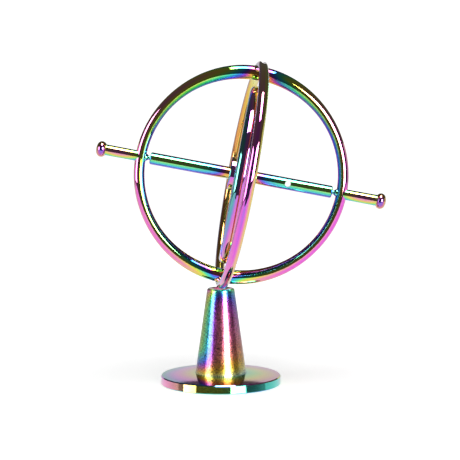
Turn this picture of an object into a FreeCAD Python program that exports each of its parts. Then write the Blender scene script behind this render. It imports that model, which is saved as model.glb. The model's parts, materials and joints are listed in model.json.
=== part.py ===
import FreeCAD, Part
import math
import os

# A toy-sized demonstration gyroscope that leans on a round stand.
# Millimetres and degrees. The origin is the centre of the stand's underside, +Z is up.
# The gyroscope is first built upright about its own centre, with the spin axis along X and
# the two crossings of its rings on Z. It is then set on the stand and leaned over.

Vector = FreeCAD.Vector
ORIGIN = Vector(0, 0, 0)
X_AXIS = Vector(1, 0, 0)
Y_AXIS = Vector(0, 1, 0)
Z_AXIS = Vector(0, 0, 1)

# ---------------------------------------------------------------- driving dimensions: stand
base_radius = 17.65
base_rim_height = 2.5
base_rim_draft = 0.12          # the plate is this much smaller at the top of its rim
base_dome_rise = 0.8
base_edge_break = 0.25
column_seat_depth = 0.35       # how deep the column's foot sits in the domed plate
column_foot_radius = 7.5
column_head_radius = 4.0
column_height = 25.25
column_foot_break = 0.25
column_head_break = 0.3
column_seat_clearance = 0.05

screw_radius = 1.5
screw_hole_clearance = 0.2
screw_head_radius = 2.8
screw_head_edge = 0.25
screw_head_recess = 0.3
screw_grip = 7.0               # thread length inside the column
screw_point_gap = 0.6
socket_across_flats = 2.0
socket_depth = 1.1

cup_wall = 0.7                 # column wall around the cup, at the column's head
cup_flange = 1.3
cup_stem_radius = 1.8
cup_stem_length = 4.0
cup_running_clearance = 0.05
cup_floor_gap = 0.3
dish_land = 0.3                # rim of the cup around its dish
dish_depth = 0.5

# ---------------------------------------------------------------- driving dimensions: frame
axial_ring_radius = 29.65      # centre line of the inner ring
axial_wire_radius = 1.58
crossing_swell = 0.52          # extra wire radius of the inner ring at the crossings
crossing_shift = 0.2           # its centre line moves outwards there
swell_angle = 62.0             # the swelling fades out this far from a crossing
equator_wire_radius = 1.45
crossing_bite = 1.2            # how deep the outer ring is let into the inner one
ring_skew = 4.75               # the outer ring isn't quite square to the inner one
notch_radius = 0.7             # round floor of the slot in the outer ring at each crossing
notch_depth = 1.0
weld_reach = 1.0               # how far the weld stands out beside the outer ring's wire
weld_toe = 0.65                # and beside the inner ring's wire
weld_half_height = 1.3
weld_inset = 1.2               # weld centre, inside the outer ring's centre line

stem_length = 8.75             # outside of the inner ring to the tip
stem_tip_radius = 1.6
stem_root_inset = 0.02         # the stem's root is this much thinner than the ring's wire
stem_shoulder = 0.6            # step from the stem to the neck that the tip sits on
stem_neck_length = 1.7
tip_length = 2.8
tip_overhang = 0.7             # how far the bead stands out around the stem
tip_crest_place = 1.3          # the bead is thickest this far from its inner end
tip_end_radius = 1.2           # its slightly domed end face
tip_end_rise = 0.22
root_hole_radius = 0.8         # hole through the inner ring for the shank of a bearing point
shank_gap = 0.1
bearing_head_radius = 1.12     # round head of a bearing point, half sunk in the ring
bearing_head_place = 0.28      # its centre, outside the inside of the ring
bearing_neck_radius = 0.6      # between the head and the cone

# ---------------------------------------------------------------- driving dimensions: rotor
axle_radius = 1.79
axle_end_gap = 1.25            # from the axle's end to the inside of the inner ring
axle_end_break = 0.25
string_hole_radius = 0.85
string_hole_place = 13.8
bearing_seat_wall = 0.55       # axle wall around a bearing seat
bearing_seat_length = 2.4
bearing_seat_angle = 50.0      # half angle of the hollow cone in the axle's end
bearing_point_angle = 42.0     # half angle of the cone point that runs in it
bearing_depth = 0.7            # how far the cone point reaches into the axle
bearing_clearance = 0.08

rim_gap = 1.55                 # from the flywheel to the inner ring at a crossing
rim_thickness = 3.9
rim_width = 5.2
rim_edge_round = 1.7
rim_inner_round = 0.5
web_thickness = 1.8
web_blend = 1.4                # slope between the web and the rim or the hub
hub_radius = 6.0
web_groove_radius = 12.5       # a shallow turned ring on each face of the web
web_groove_width = 1.0
web_groove_depth = 0.3
collar_inset = 1.1             # the collars are this much smaller than the hub
collar_thickness = 1.5
collar_edge_round = 0.5

# ---------------------------------------------------------------- driving dimensions: pose
lean_angle = 10.6
seat_gap = 0.08                # the outer ring stands this far clear of the cup's rim


# ---------------------------------------------------------------- small helpers
def line(start, end):
    return Part.LineSegment(start, end).toShape()


def arc(start, middle, end):
    return Part.Arc(start, middle, end).toShape()


def turned(edges, axis):
    """A solid of revolution from a closed half profile."""
    face = Part.Face(Part.Wire(edges))
    return face.revolve(ORIGIN, axis, 360)


def polygon(points):
    """The straight edges of a closed outline."""
    following = points[1:] + points[:1]
    return [line(start, end) for start, end in zip(points, following)]


def lathe(points):
    """A solid of revolution about X, from (distance along X, radius) pairs."""
    return turned(polygon([Vector(x, r, 0) for x, r in points]), X_AXIS)


def upright_lathe(points):
    """A solid of revolution about Z, from (radius, height) pairs."""
    return turned(polygon([Vector(r, 0, z) for r, z in points]), Z_AXIS)


def rounded(shape, radius, wanted):
    """Fillets the circular edges that the test picks."""
    edges = [edge for edge in shape.Edges if wanted(edge)]
    return shape.makeFillet(radius, edges)


def circle_about_x(edge, x, radius):
    """True for a full circle about X at this place and size."""
    curve = edge.Curve
    if not isinstance(curve, Part.Circle):
        return False
    return abs(curve.Center.x - x) < 1e-6 and abs(curve.Radius - radius) < 1e-6


def mirrored(shape):
    return shape.mirror(ORIGIN, X_AXIS)


def cap_radius(rim_radius, rise):
    """Radius of the sphere whose cap has this rim and this rise."""
    return (rim_radius ** 2 + rise ** 2) / (2 * rise)


def cap_drop(sphere_radius, radius):
    """How far a sphere's surface has fallen from its pole, at this distance from the axis."""
    return sphere_radius - math.sqrt(sphere_radius ** 2 - radius ** 2)


# ---------------------------------------------------------------- heights of the stand
dome_sphere_radius = cap_radius(base_radius, base_dome_rise)


def dome_height(radius):
    """Height of the plate's domed top at this distance from its centre."""
    return base_rim_height + base_dome_rise - cap_drop(dome_sphere_radius, radius)


column_base_z = dome_height(column_foot_radius) - column_seat_depth
column_top_z = column_base_z + column_height
screw_top_z = column_base_z + screw_grip
screw_hole_radius = screw_radius + screw_hole_clearance
cup_radius = column_head_radius - cup_wall
dish_mouth_radius = cup_radius - dish_land
cup_seat_z = column_top_z - cup_flange
cup_bottom_z = cup_seat_z - cup_stem_length


# ---------------------------------------------------------------- stand
def make_base_plate():
    edge = base_edge_break
    seat_radius = column_foot_radius + column_seat_clearance
    seat_outer = Vector(seat_radius, 0, dome_height(seat_radius))
    rim_top_radius = base_radius - base_rim_draft
    shoulder_radius = rim_top_radius - edge
    shoulder = Vector(shoulder_radius, 0, dome_height(shoulder_radius))
    middle_radius = (seat_radius + shoulder_radius) / 2
    crown = Vector(middle_radius, 0, dome_height(middle_radius))
    seat_inner = Vector(seat_radius, 0, column_base_z)
    outline = [
        line(Vector(0, 0, 0), Vector(base_radius - edge, 0, 0)),
        line(Vector(base_radius - edge, 0, 0), Vector(base_radius, 0, edge)),
        line(Vector(base_radius, 0, edge), Vector(rim_top_radius, 0, base_rim_height - edge)),
        line(Vector(rim_top_radius, 0, base_rim_height - edge), shoulder),
        arc(shoulder, crown, seat_outer),
        line(seat_outer, seat_inner),
        line(seat_inner, Vector(0, 0, column_base_z)),
        line(Vector(0, 0, column_base_z), Vector(0, 0, 0)),
    ]
    plate = turned(outline, Z_AXIS)
    return plate.cut(screw_hole())


def screw_hole():
    """Countersink and clearance hole for the screw, as a cutter."""
    mouth_radius = screw_head_radius + screw_hole_clearance
    sink_end_z = screw_head_recess + screw_head_edge + (mouth_radius - screw_hole_radius)
    return upright_lathe([
        (0, -1),
        (mouth_radius, -1),
        (mouth_radius, screw_head_recess + screw_head_edge),
        (screw_hole_radius, sink_end_z),
        (screw_hole_radius, column_base_z + 1),
        (0, column_base_z + 1),
    ])


def make_base_screw():
    head_z = screw_head_recess
    cone_end_z = head_z + screw_head_edge + (screw_head_radius - screw_radius)
    screw = upright_lathe([
        (0, head_z),
        (screw_head_radius, head_z),
        (screw_head_radius, head_z + screw_head_edge),
        (screw_radius, cone_end_z),
        (screw_radius, screw_top_z - screw_radius / 2),
        (screw_radius / 2, screw_top_z),
        (0, screw_top_z),
    ])
    corner_radius = socket_across_flats / math.sqrt(3)
    corners = []
    for step in range(6):
        angle = math.radians(60 * step)
        corners.append(Vector(corner_radius * math.cos(angle), corner_radius * math.sin(angle), 0))
    socket = Part.Face(Part.Wire(polygon(corners))).extrude(Z_AXIS * (head_z + socket_depth))
    return screw.cut(socket)


def make_column():
    foot = column_foot_break
    head = column_head_break
    column = upright_lathe([
        (0, column_base_z),
        (column_foot_radius - foot, column_base_z),
        (column_foot_radius, column_base_z + foot),
        (column_head_radius, column_top_z - head),
        (column_head_radius - head, column_top_z),
        (0, column_top_z),
    ])
    thread_top_z = screw_top_z + screw_point_gap
    thread = upright_lathe([
        (0, column_base_z - 1),
        (screw_radius, column_base_z - 1),
        (screw_radius, thread_top_z),
        (0, thread_top_z + screw_radius / 2),
    ])
    bore_radius = cup_stem_radius + cup_running_clearance
    pocket_radius = cup_radius + cup_running_clearance
    floor_z = cup_bottom_z - cup_floor_gap
    pocket = upright_lathe([
        (0, floor_z - bore_radius / 2),
        (bore_radius, floor_z),
        (bore_radius, cup_seat_z - cup_running_clearance),
        (pocket_radius, cup_seat_z - cup_running_clearance),
        (pocket_radius, column_top_z + 1),
        (0, column_top_z + 1),
    ])
    return column.cut(thread).cut(pocket)


def make_seat_cup():
    rim_edge = dish_land / 2
    mouth = Vector(dish_mouth_radius, 0, column_top_z)
    bottom = Vector(0, 0, column_top_z - dish_depth)
    half_mouth = dish_mouth_radius / 2
    rise = cap_drop(cap_radius(dish_mouth_radius, dish_depth), half_mouth)
    middle = Vector(half_mouth, 0, column_top_z - dish_depth + rise)
    corners = [
        mouth,
        Vector(cup_radius - rim_edge, 0, column_top_z),
        Vector(cup_radius, 0, column_top_z - rim_edge),
        Vector(cup_radius, 0, cup_seat_z),
        Vector(cup_stem_radius, 0, cup_seat_z),
        Vector(cup_stem_radius, 0, cup_bottom_z),
        Vector(0, 0, cup_bottom_z),
        bottom,
    ]
    edges = [line(start, end) for start, end in zip(corners, corners[1:])]
    edges.append(arc(bottom, middle, mouth))
    return turned(edges, Z_AXIS)


# ---------------------------------------------------------------- frame, upright about its centre
crossing_centre_radius = axial_ring_radius + crossing_shift
crossing_wire_radius = axial_wire_radius + crossing_swell
crossing_outer_radius = crossing_centre_radius + crossing_wire_radius
crossing_inner_radius = crossing_centre_radius - crossing_wire_radius
equator_ring_radius = crossing_outer_radius - crossing_bite + equator_wire_radius
equator_outer_radius = equator_ring_radius + equator_wire_radius
axial_inner_radius = axial_ring_radius - axial_wire_radius
axial_outer_radius = axial_ring_radius + axial_wire_radius

stem_root_radius = axial_wire_radius - stem_root_inset
stem_neck_radius = stem_tip_radius - stem_shoulder
tip_radius = stem_tip_radius + tip_overhang
tip_start = axial_outer_radius + stem_length
tip_end = tip_start + tip_length
stem_neck_end = tip_start + stem_neck_length

axle_half_length = axial_inner_radius - axle_end_gap
bearing_point_x = axle_half_length - bearing_depth


def equator_turn(shape):
    """Turns a shape from square to the skew of the outer ring."""
    skewed = shape.copy()
    skewed.rotate(ORIGIN, Z_AXIS, ring_skew)
    return skewed


def equator_wire():
    """The whole outer ring, before its notches are cut."""
    return equator_turn(Part.makeTorus(equator_ring_radius, equator_wire_radius, ORIGIN, X_AXIS))


def string_notch():
    """The round-bottomed slot along the outside of the ring's top, as a cutter."""
    reach = equator_ring_radius / 2
    floor_z = equator_outer_radius - notch_depth
    wall_z = floor_z + notch_radius
    open_z = equator_outer_radius + notch_radius
    left, right = -notch_radius, notch_radius
    outline = [
        arc(Vector(left, -reach, wall_z), Vector(0, -reach, floor_z), Vector(right, -reach, wall_z)),
        line(Vector(right, -reach, wall_z), Vector(right, -reach, open_z)),
        line(Vector(right, -reach, open_z), Vector(left, -reach, open_z)),
        line(Vector(left, -reach, open_z), Vector(left, -reach, wall_z)),
    ]
    return Part.Face(Part.Wire(outline)).extrude(Y_AXIS * (2 * reach))


def make_equator_ring():
    """The outer ring, with a string notch at the top and at the bottom."""
    notch = string_notch()
    notches = [notch, notch.mirror(ORIGIN, Z_AXIS)]
    return equator_wire().cut([equator_turn(cutter) for cutter in notches])


def swell_at(angle):
    """Share of the swelling left at this angle from a crossing."""
    if angle >= swell_angle:
        return 0.0
    return math.cos(math.radians(90 * angle / swell_angle)) ** 2


def wire_section(angle):
    """Round section of the inner ring, at this angle from the top crossing towards +X."""
    share = swell_at(angle)
    outwards = Vector(math.sin(math.radians(angle)), 0, math.cos(math.radians(angle)))
    along = Vector(math.cos(math.radians(angle)), 0, -math.sin(math.radians(angle)))
    centre = outwards * (axial_ring_radius + crossing_shift * share)
    radius = axial_wire_radius + crossing_swell * share
    circle = Part.Circle(centre, along, radius)
    return Part.Wire(circle.toShape())


def swollen_ring():
    """The inner ring without its holes: plain over the stems, swollen at the crossings."""
    steps = 10
    sections = [wire_section(swell_angle * step / steps) for step in range(steps + 1)]
    swollen = Part.makeLoft(sections, True, False)
    plain_angle = 2 * (90 - swell_angle)
    profile = Part.Face(wire_section(swell_angle))
    plain = profile.revolve(ORIGIN, Y_AXIS, plain_angle)
    side = swollen.fuse([plain, swollen.mirror(ORIGIN, Z_AXIS)])
    return side.fuse(mirrored(side)).removeSplitter()


def make_axial_ring():
    ring = swollen_ring().cut(equator_wire())
    hole_reach = axial_ring_radius + 2 * axial_wire_radius
    hole = Part.makeCylinder(root_hole_radius, 2 * hole_reach, X_AXIS * -hole_reach, X_AXIS)
    return ring.cut(hole)


def make_crossing_weld(axial_ring, side):
    """Weld metal in the corners where the rings cross, on the top (1) or the bottom (-1)."""
    bead = Part.makeSphere(1.0)
    stretch = FreeCAD.Matrix()
    half_width = equator_wire_radius + weld_reach
    half_length = crossing_wire_radius + weld_toe
    stretch.scale(half_width, half_length, weld_half_height)
    bead = equator_turn(bead.transformGeometry(stretch))
    bead.translate(Z_AXIS * (side * (equator_ring_radius - weld_inset)))
    return bead.cut([equator_wire(), axial_ring])


def make_stem(axial_ring):
    """The right-hand stem: spigot in the ring, tapered rod, neck for the tip."""
    rod = lathe([
        (axial_ring_radius + shank_gap, 0),
        (axial_ring_radius + shank_gap, stem_root_radius),
        (tip_start, stem_tip_radius),
        (tip_start, stem_neck_radius),
        (stem_neck_end, stem_neck_radius),
        (stem_neck_end, 0),
    ])
    return rod.cut(axial_ring)


def make_tip():
    """The right-hand bead, with a blind hole for the stem's neck."""
    crest_x = tip_start + tip_crest_place
    shoulder_x = tip_end - tip_end_rise
    shoulder = Vector(shoulder_x, tip_end_radius, 0)
    half_end = tip_end_radius / 2
    drop = cap_drop(cap_radius(tip_end_radius, tip_end_rise), half_end)
    end_middle = Vector(tip_end - drop, half_end, 0)
    outline = [
        line(Vector(tip_start, 0, 0), Vector(tip_start, stem_tip_radius, 0)),
        arc(Vector(tip_start, stem_tip_radius, 0), Vector(crest_x, tip_radius, 0), shoulder),
        arc(shoulder, end_middle, Vector(tip_end, 0, 0)),
        line(Vector(tip_end, 0, 0), Vector(tip_start, 0, 0)),
    ]
    bead = turned(outline, X_AXIS)
    hole = Part.makeCylinder(stem_neck_radius, stem_neck_length, X_AXIS * tip_start, X_AXIS)
    return bead.cut(hole)


def make_bearing_point(axial_ring):
    """The right-hand cone point, with a round head on the ring and a shank in the ring's hole."""
    slope = math.tan(math.radians(bearing_point_angle))
    head_x = axial_inner_radius + bearing_head_place
    neck_drop = math.sqrt(bearing_head_radius ** 2 - bearing_neck_radius ** 2)
    shank_drop = math.sqrt(bearing_head_radius ** 2 - root_hole_radius ** 2)
    neck_end = Vector(head_x - neck_drop, bearing_neck_radius, 0)
    crest = Vector(head_x, bearing_head_radius, 0)
    shank_start = Vector(head_x + shank_drop, root_hole_radius, 0)
    corners = [
        shank_start,
        Vector(axial_ring_radius, root_hole_radius, 0),
        Vector(axial_ring_radius, 0, 0),
        Vector(bearing_point_x, 0, 0),
        Vector(bearing_point_x + bearing_neck_radius / slope, bearing_neck_radius, 0),
        neck_end,
    ]
    edges = [line(start, end) for start, end in zip(corners, corners[1:])]
    edges.append(arc(neck_end, crest, shank_start))
    return turned(edges, X_AXIS).cut(axial_ring)


# ---------------------------------------------------------------- rotor, upright about its centre
bearing_seat_inner = axle_half_length - bearing_seat_length
bearing_seat_radius = axle_radius - bearing_seat_wall
flywheel_radius = crossing_inner_radius - rim_gap
collar_radius = hub_radius - collar_inset
rim_half = rim_thickness / 2
web_half = web_thickness / 2
rim_inner_radius = flywheel_radius - rim_width


def make_axle():
    end = axle_half_length
    edge = axle_end_break
    axle = lathe([
        (-end, 0),
        (-end, axle_radius - edge),
        (-end + edge, axle_radius),
        (end - edge, axle_radius),
        (end, axle_radius - edge),
        (end, 0),
    ])
    for side in (1, -1):
        seat = Part.makeCylinder(
            bearing_seat_radius, bearing_seat_length, X_AXIS * (side * end), X_AXIS * -side)
        axle = axle.cut(seat)
    start = Vector(string_hole_place, -2 * axle_radius, 0)
    string_hole = Part.makeCylinder(string_hole_radius, 4 * axle_radius, start, Y_AXIS)
    return axle.cut(string_hole)


def make_bearing_seat():
    """The right-hand conical seat in the axle's end."""
    slope = math.tan(math.radians(bearing_seat_angle))
    apex_x = bearing_point_x - bearing_clearance
    mouth_radius = (axle_half_length - apex_x) * slope
    return lathe([
        (bearing_seat_inner, 0),
        (bearing_seat_inner, bearing_seat_radius),
        (axle_half_length, bearing_seat_radius),
        (axle_half_length, mouth_radius),
        (apex_x, 0),
    ])


def make_flywheel():
    blend_rim = rim_inner_radius - web_blend
    blend_hub = hub_radius + web_blend
    groove_outer = web_groove_radius + web_groove_width / 2
    groove_inner = web_groove_radius - web_groove_width / 2
    groove_floor = web_half - web_groove_depth
    right_side = [
        (rim_half, flywheel_radius),
        (rim_half, rim_inner_radius),
        (web_half, blend_rim),
        (web_half, groove_outer),
        (groove_floor, groove_outer),
        (groove_floor, groove_inner),
        (web_half, groove_inner),
        (web_half, blend_hub),
        (rim_half, hub_radius),
        (rim_half, axle_radius),
    ]
    left_side = [(-x, r) for x, r in reversed(right_side)]
    wheel = lathe(right_side + left_side)
    for side in (1, -1):
        wheel = rounded(
            wheel, rim_edge_round,
            lambda edge: circle_about_x(edge, side * rim_half, flywheel_radius))
        wheel = rounded(
            wheel, rim_inner_round,
            lambda edge: circle_about_x(edge, side * rim_half, rim_inner_radius))
    return wheel


def make_hub_collar():
    """The right-hand collar against the flywheel's hub."""
    outer_x = rim_half + collar_thickness
    collar = lathe([
        (rim_half, axle_radius),
        (rim_half, collar_radius),
        (outer_x, collar_radius),
        (outer_x, axle_radius),
    ])
    return rounded(
        collar, collar_edge_round, lambda edge: circle_about_x(edge, outer_x, collar_radius))


# ---------------------------------------------------------------- the gyroscope on its seat
# The outer ring curves up from its lowest point, and stands on the rim of the cup's dish.
rise_at_rim = cap_drop(equator_outer_radius, dish_mouth_radius)
lean_pivot_z = column_top_z + seat_gap - rise_at_rim + equator_wire_radius
lean_axis = Vector(-math.sin(math.radians(ring_skew)), math.cos(math.radians(ring_skew)), 0)


def on_stand(shape):
    """Moves a shape from the gyroscope's own centre to its place, leaned over on the stand."""
    placed = shape.copy()
    placed.translate(Z_AXIS * (lean_pivot_z + equator_ring_radius))
    placed.rotate(Z_AXIS * lean_pivot_z, lean_axis, lean_angle)
    return placed


def build():
    """Every piece of the object, by name, in its place."""
    ring = make_axial_ring()
    right_side = {
        "stem": make_stem(ring),
        "tip": make_tip(),
        "bearing_point": make_bearing_point(ring),
        "hub_collar": make_hub_collar(),
        "bearing_seat": make_bearing_seat(),
    }
    upright = {
        "axial_ring": ring,
        "equator_ring": make_equator_ring(),
        "crossing_weld_top": make_crossing_weld(ring, 1),
        "crossing_weld_bottom": make_crossing_weld(ring, -1),
        "axle": make_axle(),
        "flywheel": make_flywheel(),
    }
    for name, shape in right_side.items():
        upright[name + "_right"] = shape
        upright[name + "_left"] = mirrored(shape)
    pieces = {
        "base_plate": make_base_plate(),
        "base_screw": make_base_screw(),
        "column": make_column(),
        "seat_cup": make_seat_cup(),
    }
    for name, shape in upright.items():
        pieces[name] = on_stand(shape)
    return pieces


os.makedirs("parts", exist_ok=True)
for name, shape in build().items():
    shape.exportStep("parts/" + name + ".step")
    print(name, shape.ShapeType, len(shape.Solids), shape.isValid(), round(shape.Volume, 2))
centre = on_stand(Part.Vertex(ORIGIN)).Point
print("lean pivot z", round(lean_pivot_z, 3), "column top z", round(column_top_z, 3))
print("gyroscope centre", [round(value, 3) for value in centre])
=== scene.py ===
import json
import math

import bpy
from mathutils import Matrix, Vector

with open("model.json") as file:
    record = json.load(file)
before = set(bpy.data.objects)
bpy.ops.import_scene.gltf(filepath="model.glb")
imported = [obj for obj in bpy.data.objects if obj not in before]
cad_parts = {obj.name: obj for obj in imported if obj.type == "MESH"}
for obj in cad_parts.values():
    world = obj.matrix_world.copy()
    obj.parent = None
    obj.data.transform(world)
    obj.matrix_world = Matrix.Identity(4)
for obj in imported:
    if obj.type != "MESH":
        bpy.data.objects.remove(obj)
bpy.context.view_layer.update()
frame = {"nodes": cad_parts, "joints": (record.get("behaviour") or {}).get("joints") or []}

# The gyroscope's own directions, at rest: along the axle, and up through its two crossings.
JOINTS = {joint["name"]: joint for joint in frame["joints"]}
AXLE_WAY = Vector(JOINTS["rotor_spin"]["axis"])
SKEW_WAY = Vector(JOINTS["lean"]["axis"])
CROSSING_WAY = AXLE_WAY.cross(SKEW_WAY).normalized()
HUB_CENTRE = Vector(JOINTS["rotor_spin"]["pos_m"])

# The stand's directions.
RIGHT = (1, 0, 0)
BEHIND = (0, 1, 0)
UP = (0, 0, 1)

MM = 0.001
MM_IN_A_METRE = 1000.0


# ---------------------------------------------------------------- node trees written as Python
class Signal:
    """A number that varies over a surface. Python's operators on it add Math nodes."""

    def __init__(self, finish, socket):
        self.finish = finish
        self.socket = socket

    def maths(self, operation, *values):
        sockets = dict(enumerate(values))
        return self.finish.add("ShaderNodeMath", {"operation": operation}, sockets)["Value"]

    def __add__(self, other):
        return self.maths("ADD", self, other)

    def __radd__(self, other):
        return self.maths("ADD", other, self)

    def __sub__(self, other):
        return self.maths("SUBTRACT", self, other)

    def __rsub__(self, other):
        return self.maths("SUBTRACT", other, self)

    def __mul__(self, other):
        return self.maths("MULTIPLY", self, other)

    def __rmul__(self, other):
        return self.maths("MULTIPLY", other, self)

    def __pow__(self, other):
        return self.maths("POWER", self, other)

    def __neg__(self):
        return self.maths("MULTIPLY", self, -1)

    def __abs__(self):
        return self.maths("ABSOLUTE", self)

    def at_least(self, other):
        return self.maths("MAXIMUM", self, other)

    def exponent(self):
        return self.maths("EXPONENT", self)


class Placed:
    """A node in a tree, whose outputs are reached by name or number."""

    def __init__(self, finish, node):
        self.finish = finish
        self.node = node

    def __getitem__(self, output):
        return Signal(self.finish, self.node.outputs[output])


class Finish:
    """A procedural material, or the world, and its node tree."""

    def __init__(self, owner):
        self.owner = owner
        owner.use_nodes = True
        self.tree = owner.node_tree
        self.tree.nodes.clear()

    def add(self, kind, settings=None, sockets=None):
        """Adds a node, its settings first, and then the values or links of its sockets."""
        node = self.tree.nodes.new(kind)
        for name, value in (settings or {}).items():
            if name == "stops":
                fill_ramp(node.color_ramp, value)
            else:
                setattr(node, name, value)
        for name, value in (sockets or {}).items():
            if isinstance(value, Signal):
                self.tree.links.new(value.socket, node.inputs[name])
            else:
                node.inputs[name].default_value = value
        return Placed(self, node)

    def vector_maths(self, operation, *values):
        sockets = dict(enumerate(values))
        return self.add("ShaderNodeVectorMath", {"operation": operation}, sockets)

    def towards(self, vector, way):
        """How far a vector goes in a direction."""
        return self.vector_maths("DOT_PRODUCT", vector, way)["Value"]

    def smooth(self, value, low, high):
        """0 below low, 1 above high, and a smooth step between."""
        settings = {"interpolation_type": "SMOOTHSTEP"}
        sockets = {"Value": value, "From Min": low, "From Max": high}
        return self.add("ShaderNodeMapRange", settings, sockets)["Result"]

    def mix_colours(self, kind, share, first, second):
        """Two colours in one, where share is how much the second one counts."""
        settings = {"data_type": "RGBA", "blend_type": kind}
        return self.add("ShaderNodeMix", settings, {0: share, 6: first, 7: second})[2]

    def output(self, shader, kind="ShaderNodeOutputMaterial"):
        self.add(kind, sockets={"Surface": shader})
        return self.owner


def fill_ramp(ramp, stops):
    while len(ramp.elements) < len(stops):
        ramp.elements.new(1.0)
    for element, (place, colour) in zip(ramp.elements, stops):
        element.position = place
        element.color = (*colour, 1.0)


def blend(first, second, share):
    """Goes from the first number to the second as share goes from 0 to 1."""
    return first * (1 - share) + second * share


# ---------------------------------------------------------------- the interference coat
# Optical paths and wavelengths are in nanometres.
FILM_INDEX = 1.52             # of the clear film: how much the colour turns with the angle
FILM_START = 400.0            # the optical paths in the table of colours
FILM_REACH = 1300.0
FILM_STOPS = 32
FILM_LOW = 0.06               # reflectance at the dark and the bright fringes
FILM_HIGH = 0.92
FILM_SATURATION = 1.10
FILM_DARKEST = 0.012          # no channel of a colour is darker or brighter than these
FILM_BRIGHTEST = 0.97
MILK_LEVEL = 0.45
CLEAR_COAT = 1.0
GRAIN_COAT_ROUGHNESS = 0.14   # over blasted metal, where the clear layer fills the pits a little
GRAIN_COAT_INDEX = 1.75
SMEAR_SIZE = 3.0              # the polish is uneven in patches of this many millimetres
SMEAR_SHARE = 0.25

VISIBLE_WAVES = range(390, 721, 5)
DAYLIGHT = (0.9505, 1.0, 1.089)
# The eye's three responses as sums of bells: height, middle, width below and width above.
EYE_BELLS = (
    ((1.056, 599.8, 37.9, 31.0), (0.362, 442.0, 16.0, 26.7), (-0.065, 501.1, 20.4, 26.2)),
    ((0.821, 568.8, 46.9, 40.5), (0.286, 530.9, 16.3, 31.1)),
    ((1.217, 437.0, 11.8, 36.0), (0.681, 459.0, 26.0, 13.8)),
)
# From the eye's responses to the light of a screen's red, green and blue.
SCREEN_ROWS = (
    (3.2406, -1.5372, -0.4986),
    (-0.9689, 1.8758, 0.0415),
    (0.0557, -0.2040, 1.0570),
)


def bell(value, middle, below, above):
    width = below if value < middle else above
    return math.exp(-0.5 * ((value - middle) / width) ** 2)


def eye_response(wavelength):
    return [sum(height * bell(wavelength, *form) for height, *form in bells) for bells in EYE_BELLS]


def film_colour(path):
    """The colour that a film on bright metal reflects, from its optical path."""
    seen = [0.0, 0.0, 0.0]
    white = [0.0, 0.0, 0.0]
    for wavelength in VISIBLE_WAVES:
        wave = 0.5 + 0.5 * math.cos(2 * math.pi * path / wavelength)
        reflected = FILM_LOW + (FILM_HIGH - FILM_LOW) * wave
        for i, response in enumerate(eye_response(wavelength)):
            seen[i] += reflected * response
            white[i] += response
    x, y, z = (level * s / w for level, s, w in zip(DAYLIGHT, seen, white))
    light = [a * x + b * y + c * z for a, b, c in SCREEN_ROWS]
    mean = sum(light) / 3
    vivid = [mean + (c - mean) * FILM_SATURATION for c in light]
    return tuple(min(FILM_BRIGHTEST, max(FILM_DARKEST, c)) for c in vivid)


FILM_TABLE = [
    (i / (FILM_STOPS - 1), film_colour(FILM_START + FILM_REACH * i / (FILM_STOPS - 1)))
    for i in range(FILM_STOPS)
]


class Surface:
    """Where a point of a coated surface is, and which way it faces."""

    def __init__(self, finish):
        self.finish = finish
        place = finish.add("ShaderNodeTexCoord")
        self.point = place["Object"]
        self.normal = place["Normal"]

    def facing(self, way):
        """1 where the surface faces this way, and -1 where it faces the other way."""
        return self.finish.towards(self.normal, tuple(way))

    def moved(self, start):
        return self.finish.vector_maths("ADD", self.point, tuple(-Vector(start)))["Vector"]

    def along(self, way, start=(0, 0, 0)):
        """Distance in millimetres from a start, along a direction."""
        return self.finish.towards(self.moved(start), tuple(way)) * MM_IN_A_METRE

    def outward(self, centre):
        """1 where a ring's wire faces out of the ring, -1 where it faces the ring's centre."""
        spoke = self.finish.vector_maths("NORMALIZE", self.moved(centre))["Vector"]
        return self.finish.towards(self.normal, spoke)

    def clouds(self, size, detail=2.0):
        """Soft noise from -1 to 1, whose patches are about size millimetres."""
        sockets = {"Vector": self.point, "Scale": MM_IN_A_METRE / size, "Detail": detail}
        noise = self.finish.add("ShaderNodeTexNoise", {"noise_dimensions": "3D"}, sockets)
        return noise["Fac"] * 2.0 - 1.0

    def uneven(self, patch, depth, detail=2.0):
        """How far the film's path wanders from patch to patch. Patches are in millimetres."""
        return self.clouds(patch, detail) * depth


def coated(name, path_of, milk, roughness, slant_share=1.0, pits_and_painted_shade=None):
    """A metal with the rainbow coat. path_of gives the film's optical path on a surface.

    Milk makes the colours paler. The slant share is less than 1 where rough metal blurs the angles.
    """
    finish = Finish(bpy.data.materials.new(name))
    surface = Surface(finish)
    path = path_of(surface)
    away = finish.add("ShaderNodeLayerWeight", sockets={"Blend": 0.5})["Facing"]
    square = (1 - away) ** 2.0
    slant = (1 - (1 - square) * (1 / FILM_INDEX ** 2)) ** 0.5
    path = path * (slant * slant_share + (1.0 - slant_share))
    place = (path - FILM_START) * (1 / FILM_REACH)
    stops = [(at, [c + (MILK_LEVEL - c) * milk for c in shade]) for at, shade in FILM_TABLE]
    colour = finish.add("ShaderNodeValToRGB", {"stops": stops}, {"Fac": place})["Color"]
    sockets = {"Metallic": 1.0, "Coat Weight": CLEAR_COAT, "Coat Roughness": roughness}
    # on blasted metal: pits as bumps, and specks of painted shade in the colour
    if pits_and_painted_shade:
        colour, sockets["Normal"] = pits_and_painted_shade(surface, colour)
        sockets["Coat Roughness"] = GRAIN_COAT_ROUGHNESS
        sockets["Coat IOR"] = GRAIN_COAT_INDEX
    sockets["Base Color"] = colour
    smears = surface.clouds(SMEAR_SIZE, detail=3.0)
    sockets["Roughness"] = (smears * SMEAR_SHARE + 1.0) * roughness
    shader = finish.add("ShaderNodeBsdfPrincipled", {"distribution": "GGX"}, sockets)["BSDF"]
    return finish.output(shader)


TURNING_MARKS = 0.25          # their size in millimetres
STAINS = 2.0
STAIN_SHADE = 0.8


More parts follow.
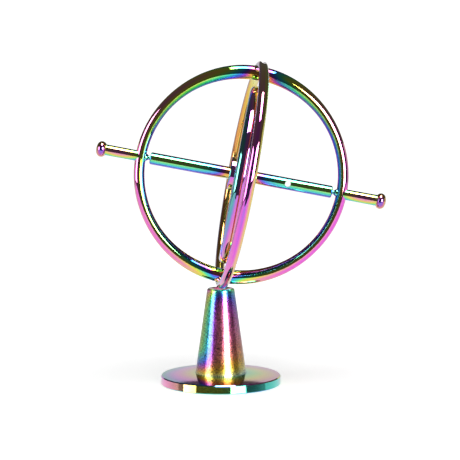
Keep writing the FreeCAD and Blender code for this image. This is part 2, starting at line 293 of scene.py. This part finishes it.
def bare_steel(name, colour, roughness):
    """Steel with the fine marks of turning and grinding, and faint stains."""
    finish = Finish(bpy.data.materials.new(name))
    surface = Surface(finish)
    marks = surface.clouds(TURNING_MARKS, detail=4.0)
    stains = surface.clouds(STAINS) * 0.5 + 0.5
    stained = [c * STAIN_SHADE for c in colour]
    grooves = {"Strength": 0.2, "Distance": 0.02 * MM, "Height": marks}
    sockets = {
        "Metallic": 1.0,
        "Normal": finish.add("ShaderNodeBump", sockets=grooves)["Normal"],
        "Base Color": finish.mix_colours("MIX", stains, (*stained, 1), (*colour, 1)),
        "Roughness": roughness + marks * 0.05,
    }
    shader = finish.add("ShaderNodeBsdfPrincipled", sockets=sockets)["BSDF"]
    return finish.output(shader)


# ---------------------------------------------------------------- film thickness on each piece
# Each function gives the film's optical path in nanometres. Its distances are in millimetres.
def near_joint(distance, reach, depth):
    """How much the film changes at a joint between two pieces. It dies away with the distance."""
    return depth * (distance * (-1 / reach)).exponent()


def axle_film(surface):
    """Thinner towards the flywheel's hub, and a little thicker on top."""
    hub_half_width = 4.5
    open_path, top_gain = 1090.0, 50.0
    out = abs(surface.along(AXLE_WAY, HUB_CENTRE))
    from_hub = (out - hub_half_width).at_least(0.0)
    path = open_path - near_joint(from_hub, reach=3.0, depth=375.0)
    return path + surface.facing(CROSSING_WAY) * top_gain + surface.uneven(patch=6.0, depth=12.0)


def stem_film(surface):
    """Thickest half-way along a stem."""
    stem_middle, half_length = 36.0, 5.0
    middle_path, end_loss = 1285.0, 155.0
    out = abs(surface.along(AXLE_WAY, HUB_CENTRE))
    from_middle = (out - stem_middle) * (1 / half_length)
    path = middle_path - from_middle * from_middle * end_loss
    return path + surface.uneven(patch=5.0, depth=15.0)


def tip_film(surface):
    side_path, top_loss = 840.0, 60.0
    path = side_path - surface.facing(CROSSING_WAY) * top_loss
    return path + surface.uneven(patch=1.5, depth=30.0)


def bearing_film(surface):
    side_path, top_gain = 1060.0, 60.0
    path = side_path + surface.facing(CROSSING_WAY) * top_gain
    return path + surface.uneven(patch=1.0, depth=40.0)


def ring_film(surface):
    """Thicker outside than inside, and more so low down. It gets thin towards the two crossings."""
    side_path = 1155.0
    out_gain, per_mm_right, per_mm_up = 168.0, 1.15, 3.4
    outside_gain = 193.0
    flank_start, per_mm_flank = 14.0, 5.0
    weld_half_width, weld_reach = 2.5, 4.5
    weld_depth, weld_depth_per_mm_up, weld_inside_less = 440.0, 1.25, 130.0

    across = surface.along(AXLE_WAY, HUB_CENTRE)
    height = surface.along(CROSSING_WAY, HUB_CENTRE)
    out = surface.outward(HUB_CENTRE)
    flank = (abs(across) - flank_start).at_least(0.0) * per_mm_flank
    thick = side_path + out * (out_gain + across * per_mm_right - height * per_mm_up)
    thick = thick + out.at_least(0.0) * (flank + outside_gain)
    from_weld = (abs(across) - weld_half_width).at_least(0.0)
    depth = weld_depth + height * weld_depth_per_mm_up - (-out).at_least(0.0) * weld_inside_less
    return thick - near_joint(from_weld, weld_reach, depth) + surface.uneven(patch=9.0, depth=15.0)


def equator_film(surface):
    """Thickest along the wire's two sides, so the tilt of its face hardly changes the colour.

    Its inside has a thin golden film, which is thinnest beside the crossing on top.
    """
    crossing_at = 33.5
    full_path, per_mm_up, per_mm_squared = 1981.0, 2.5, 0.135
    outside_less, right_less, left_less = 603.0, 245.0, 175.0
    golden_path, golden_per_mm_squared, golden_out_gain = 690.0, 0.10, 270.0

    height = surface.along(CROSSING_WAY, HUB_CENTRE)
    out = surface.outward(HUB_CENTRE)
    right = surface.facing(AXLE_WAY)
    path = height * height * per_mm_squared - height * per_mm_up + full_path
    path = path - out.at_least(0.0) * outside_less
    path = path - right.at_least(0.0) * right_less - (-right).at_least(0.0) * left_less
    path = path + near_joint((crossing_at - height).at_least(0.0), reach=8.0, depth=109.0)
    path = path + near_joint((height + crossing_at).at_least(0.0), reach=4.0, depth=71.0)
    golden = height * height * golden_per_mm_squared + golden_path + (out + 1.0) * golden_out_gain
    golden = golden - near_joint((crossing_at - height).at_least(0.0), reach=5.0, depth=150.0)
    inside = surface.finish.smooth(-out, low=0.0, high=0.4)
    return blend(path, golden, inside) + surface.uneven(patch=8.0, depth=10.0)


def flywheel_film(surface):
    """Thicker on the rim's left side, top and foot. The left face has a film of its own."""
    rim_radius = 26.0
    middle_path, left_gain, right_gain, right_gain_up, end_gain = 1363.0, 450.0, 125.0, 265.0, 118.0
    face_path, face_up_less = 1310.0, 190.0

    height = surface.along(CROSSING_WAY, HUB_CENTRE) * (1 / rim_radius)
    right = surface.facing(AXLE_WAY)
    path = middle_path + (-right).at_least(0.0) * left_gain
    path = path + right.at_least(0.0) * (height * right_gain_up + right_gain)
    path = path + height * height * end_gain
    left_face = surface.finish.smooth(-right, low=0.93, high=0.99)
    path = blend(path, face_path - height * face_up_less, left_face)
    return path + surface.uneven(patch=12.0, depth=15.0)


def weld_film(surface):
    return 800.0 + surface.uneven(patch=0.9, depth=190.0, detail=3.0)


def cup_film(surface):
    return 930.0 + surface.uneven(patch=2.0, depth=50.0)


def base_film(surface):
    """Thicker outwards and to the left on the dome, and thickest at the rim's two sides."""
    dome_path, dome_start = 1588.0, 12.0
    dome_per_mm_right, dome_per_mm_behind, dome_per_mm_out = 8.7, 3.0, 39.0
    rim_path, rim_per_right, rim_side_gain, rim_right_less = 1113.0, 20.0, 612.0, 439.0
    foot_path, foot_right_less = 1190.0, 60.0

    right = surface.facing(RIGHT)
    upward = surface.facing(UP)
    across = surface.along(RIGHT)
    behind = surface.along(BEHIND)
    radius = (across * across + behind * behind) ** 0.5
    dome = dome_path - across * dome_per_mm_right + behind * dome_per_mm_behind
    dome = dome + (radius - dome_start) * dome_per_mm_out
    rim = rim_path + right * rim_per_right + right * right * rim_side_gain
    rim = rim - right.at_least(0.0) * rim_right_less
    on_dome = surface.finish.smooth(upward, low=0.3, high=0.9)
    near_foot = surface.finish.smooth(-upward, low=0.15, high=0.5)
    rim = blend(rim, foot_path - right * foot_right_less, near_foot)
    return blend(rim, dome, on_dome) + surface.uneven(patch=9.0, depth=15.0)


BASE_TOP = (0, 0, 0.0033)     # where the column rises from the base plate, in metres
COLUMN_TALL = 25.25           # from there to its head, in millimetres


def column_film(surface):
    """Thin just above the foot, thick just under the head, and thicker on the left."""
    middle_path, foot_loss, head_gain = 750.0, 185.0, 340.0
    left_gain, right_loss, right_gain_up = 342.0, 85.0, 200.0

    smooth = surface.finish.smooth
    share = surface.along(UP, BASE_TOP) * (1 / COLUMN_TALL)
    right = surface.facing(RIGHT)
    foot = near_joint(share, reach=0.10, depth=foot_loss)
    head = near_joint(1 - share, reach=0.075, depth=head_gain)
    faces_left = smooth(-right, low=0.08, high=1.0)
    leftward = faces_left * smooth(share, low=-0.08, high=0.33) * left_gain
    rightward = right.at_least(0.0) ** 2.0 * (share * right_gain_up - right_loss)
    path = middle_path - foot + head + leftward + rightward
    return path + surface.uneven(patch=0.35, depth=22.0) + surface.uneven(patch=4.0, depth=10.0)


BLAST_PITS = 0.34             # the size of the pits, and of the dark specks of painted shade, in millimetres
BLAST_SHADE_SPECKS = 0.28
BLAST_DEPTH = 0.016           # how deep the pits are, in millimetres
# how far the painted shade darkens the coat's colour in the specks
BLAST_PAINTED_SHADE = 0.9
BLAST_SHADE_COLOUR = (0.1, 0.1, 0.1, 1.0)


def blast_pits_and_painted_shade(surface, colour):
    """Fine pits from blasting as bumps, with dark specks of painted shade between smoother spots
    that catch the light.
    """
    finish = surface.finish
    pits = surface.clouds(BLAST_PITS, detail=0.0)
    sockets = {"Strength": 1.0, "Distance": BLAST_DEPTH * MM, "Height": pits}
    normal = finish.add("ShaderNodeBump", sockets=sockets)["Normal"]
    specks = surface.clouds(BLAST_SHADE_SPECKS, detail=0.0)
    # painted shade: random dark specks darken the coat's colour, standing in for pits that lie in
    # shade
    dark = (1.0 - finish.smooth(specks, low=-0.30, high=0.12)) * BLAST_PAINTED_SHADE
    return finish.mix_colours("MULTIPLY", dark, colour, BLAST_SHADE_COLOUR), normal


# ---------------------------------------------------------------- what each piece is finished with
POLISH = 0.045                # roughness of mirror-polished metal under the coat
BASE_POLISH = 0.07
BLASTED = 0.28
# Material: its film, its milk and the pieces that have it.
POLISHED_COATS = {
    "axle_coat": (axle_film, 0.15, ("axle",)),
    "axial_ring_coat": (ring_film, 0.05, ("axial_ring",)),
    "equator_ring_coat": (equator_film, 0.12, ("equator_ring",)),
    "flywheel_coat": (flywheel_film, 0.24, ("flywheel", "hub_collar_left", "hub_collar_right")),
    "cup_coat": (cup_film, 0.0, ("seat_cup",)),
    "weld_coat": (weld_film, 0.30, ("crossing_weld_top", "crossing_weld_bottom")),
    "stem_coat": (stem_film, 0.15, ("stem_left", "stem_right")),
    "tip_coat": (tip_film, 0.20, ("tip_left", "tip_right")),
    "bearing_coat": (bearing_film, 0.20, ("bearing_point_left", "bearing_point_right")),
}


def finish_pieces(material, *pieces):
    for piece in pieces:
        slots = frame["nodes"][piece].data.materials
        for i in range(len(slots)):
            slots[i] = material
        if not len(slots):
            slots.append(material)


def finish_gyroscope():
    for name, (film, milk, pieces) in POLISHED_COATS.items():
        finish_pieces(coated(name, film, milk, POLISH), *pieces)
    column = coated("column_coat", column_film, 0.08, BLASTED, slant_share=0.0, pits_and_painted_shade=blast_pits_and_painted_shade)
    finish_pieces(column, "column")
    finish_pieces(coated("base_coat", base_film, 0.10, BASE_POLISH), "base_plate")
    seat = bare_steel("seat_steel", (0.30, 0.27, 0.34), roughness=0.22)
    finish_pieces(seat, "bearing_seat_left", "bearing_seat_right")
    finish_pieces(bare_steel("screw_steel", (0.45, 0.45, 0.47), roughness=0.3), "base_screw")


# ---------------------------------------------------------------- camera, light and stage
# Lengths are in metres, and angles in degrees.
CAMERA_TARGET = (0.002692, 0.0, 0.045125)
CAMERA_DISTANCE = 0.450
CAMERA_AZIMUTH = 0.70
CAMERA_ELEVATION = 5.35
LENS_MM = 120.96
SENSOR_MM = 36.0
NEAREST_SEEN = 0.01
FURTHEST_SEEN = 20.0


def way_towards(azimuth, elevation):
    a = math.radians(azimuth)
    e = math.radians(elevation)
    return Vector((math.sin(a) * math.cos(e), -math.cos(a) * math.cos(e), math.sin(e)))


def put(name, data, place, looking):
    """Puts a camera or a lamp in the scene, which looks along a direction."""
    holder = bpy.data.objects.new(name, data)
    holder.location = place
    holder.rotation_mode = "QUATERNION"
    holder.rotation_quaternion = looking.to_track_quat("-Z", "Y")
    bpy.context.scene.collection.objects.link(holder)
    return holder


def make_camera():
    camera = bpy.data.cameras.new("camera")
    camera.lens = LENS_MM
    camera.sensor_width = SENSOR_MM
    camera.clip_start = NEAREST_SEEN
    camera.clip_end = FURTHEST_SEEN
    back = way_towards(CAMERA_AZIMUTH, CAMERA_ELEVATION)
    place = Vector(CAMERA_TARGET) + back * CAMERA_DISTANCE
    bpy.context.scene.camera = put("camera", camera, place, -back)


GLARE_AHEAD = 0.001           # how far a lamp's glare is in front of it


def make_softbox(name, place, look_at, size, light):
    """A soft lamp with an even face, whose brightness is what a mirror shows of it.

    The glare is a second lamp just in front, which only shiny surfaces show.
    """
    width, height = size
    radiance, glare = light
    looking = (look_at - place).normalized()
    for part, brightness, ahead in (("", radiance, 0.0), ("_glare", glare, GLARE_AHEAD)):
        lamp = bpy.data.lights.new(name + part, "AREA")
        lamp.shape = "RECTANGLE"
        lamp.size = width
        lamp.size_y = height
        lamp.energy = brightness * width * height * math.pi
        holder = put(name + part, lamp, place + looking * ahead, looking)
        holder.visible_camera = False
        holder.visible_diffuse = part == ""


# The lamp overhead lies flat: its centre, its width and depth, and its light and glare.
OVERHEAD_PLACE = (0.070, -0.165, 0.66)
OVERHEAD_SIZE = (0.30, 0.38)
OVERHEAD_LIGHT = (6.6, 4.4)
# Two upright lamps beside the camera: name, azimuth, width, height of their two edges, and light.
SIDE_LAMPS = (
    ("left_softbox", -59.5, 0.22, 0.02, 0.345, (2.0, 3.6)),
    ("right_softbox", 34.0, 0.24, 0.02, 0.30, (2.5, 9.0)),
)
SIDE_DISTANCE = 0.48


def make_lamps():
    overhead = Vector(OVERHEAD_PLACE)
    below = overhead - Vector(UP)
    make_softbox("overhead_softbox", overhead, below, OVERHEAD_SIZE, OVERHEAD_LIGHT)
    for name, azimuth, width, bottom, top, light in SIDE_LAMPS:
        middle = Vector((0.0, 0.0, (bottom + top) / 2))
        place = middle + way_towards(azimuth, elevation=0.0) * SIDE_DISTANCE
        make_softbox(name, place, middle, (width, top - bottom), light)


PAPER_ALBEDO = 0.60           # of the floor and the backdrops
FLOOR_SEEN = 0.65             # how much of white the floor glows for the camera, near the object
FLOOR_MIRRORED = 0.51         # and for metal that mirrors it
WALL_SEEN = 1.0
WALL_MIRRORED = 0.42
GLOW_START = 0.03             # the floor's own glow grows to white between these distances
GLOW_FULL = 0.12
GLOSS_FULL = 0.09             # how steeply a ray meets the floor: below this it is all mirrored
GLOSS_STOPS = 0.15            # and above this nothing is
GLOSS_COLOUR = (0.9, 0.9, 0.9, 1)
GLOSS_ROUGHNESS = 0.08
DARK_LEVEL = 0.06             # the room around the backdrops
FLOOR_SIDE = 0.75
FLOOR_BACK = 0.80
BACKDROP_TOP = 0.26
WALL_LEFT_FRONT = -0.05
WALL_RIGHT_FRONT = 0.05
# The floor's front edge is cut back around the camera.
FLOOR_FRONT = (
    (0.75, -0.25), (0.12, -0.25), (0.08, -0.165), (-0.08, -0.165), (-0.12, -0.25), (-0.75, -0.25),
)


def make_sheet(name, corners, material):
    mesh = bpy.data.meshes.new(name)
    mesh.from_pydata(corners, [], [tuple(range(len(corners)))])
    mesh.materials.append(material)
    holder = bpy.data.objects.new(name, mesh)
    bpy.context.scene.collection.objects.link(holder)


def pale_paper(name, seen, mirrored, gloss=False):
    """White paper, which joins the white backdrop for the camera as it runs away from the object.

    With gloss, metal that sees the paper at a slant sees the room mirrored in it.
    """
    finish = Finish(bpy.data.materials.new(name))
    rays = finish.add("ShaderNodeLightPath")
    place = finish.add("ShaderNodeTexCoord")["Object"]
    far = finish.vector_maths("LENGTH", place)["Value"]
    seen_glow = finish.smooth(far, GLOW_START, GLOW_FULL) * (1.0 - seen) + seen
    mirrors = rays["Is Glossy Ray"].at_least(rays["Is Transmission Ray"])
    glow = rays["Is Camera Ray"] * seen_glow + mirrors * mirrored
    grey = (PAPER_ALBEDO, PAPER_ALBEDO, PAPER_ALBEDO, 1)
    paper = finish.add("ShaderNodeBsdfDiffuse", sockets={"Color": grey})["BSDF"]
    lit = finish.add("ShaderNodeEmission", sockets={"Strength": 1.0, "Color": glow})["Emission"]
    whole = finish.add("ShaderNodeAddShader", sockets={0: paper, 1: lit})["Shader"]
    if gloss:
        away = finish.add("ShaderNodeLayerWeight", sockets={"Blend": 0.5})["Facing"]
        slanting = finish.smooth(away, 1.0 - GLOSS_STOPS, 1.0 - GLOSS_FULL)
        sockets = {"Color": GLOSS_COLOUR, "Roughness": GLOSS_ROUGHNESS}
        mirror = finish.add("ShaderNodeBsdfAnisotropic", sockets=sockets)["BSDF"]
        sockets = {0: slanting * rays["Is Glossy Ray"], 1: whole, 2: mirror}
        whole = finish.add("ShaderNodeMixShader", sockets=sockets)["Shader"]
    return finish.output(whole)


def make_stage():
    side, back, top = FLOOR_SIDE, FLOOR_BACK, BACKDROP_TOP
    floor = [(-side, back, 0), (side, back, 0)] + [(x, y, 0) for x, y in FLOOR_FRONT]
    paper = pale_paper("floor_paper", FLOOR_SEEN, FLOOR_MIRRORED, gloss=True)
    make_sheet("floor", floor[::-1], paper)
    wall = pale_paper("backdrop_paper", WALL_SEEN, WALL_MIRRORED)
    far_left, far_right = (-side, back), (side, back)
    near_left, near_right = (-side, WALL_LEFT_FRONT), (side, WALL_RIGHT_FRONT)
    for name, (x, y), (end_x, end_y) in (
        ("backdrop", far_left, far_right),
        ("backdrop_left", near_left, far_left),
        ("backdrop_right", far_right, near_right),
    ):
        corners = [(x, y, 0), (end_x, end_y, 0), (end_x, end_y, top), (x, y, top)]
        make_sheet(name, corners, wall)


def make_world():
    world = bpy.data.worlds.new("studio")
    bpy.context.scene.world = world
    finish = Finish(world)
    rays = finish.add("ShaderNodeLightPath")
    level = rays["Is Camera Ray"] * (1.0 - DARK_LEVEL) + DARK_LEVEL
    sockets = {"Color": (1, 1, 1, 1), "Strength": level}
    glow = finish.add("ShaderNodeBackground", sockets=sockets)["Background"]
    finish.output(glow, "ShaderNodeOutputWorld")


finish_gyroscope()
make_camera()
make_stage()
make_world()
make_lamps()
bpy.context.scene.view_settings.view_transform = "Standard"
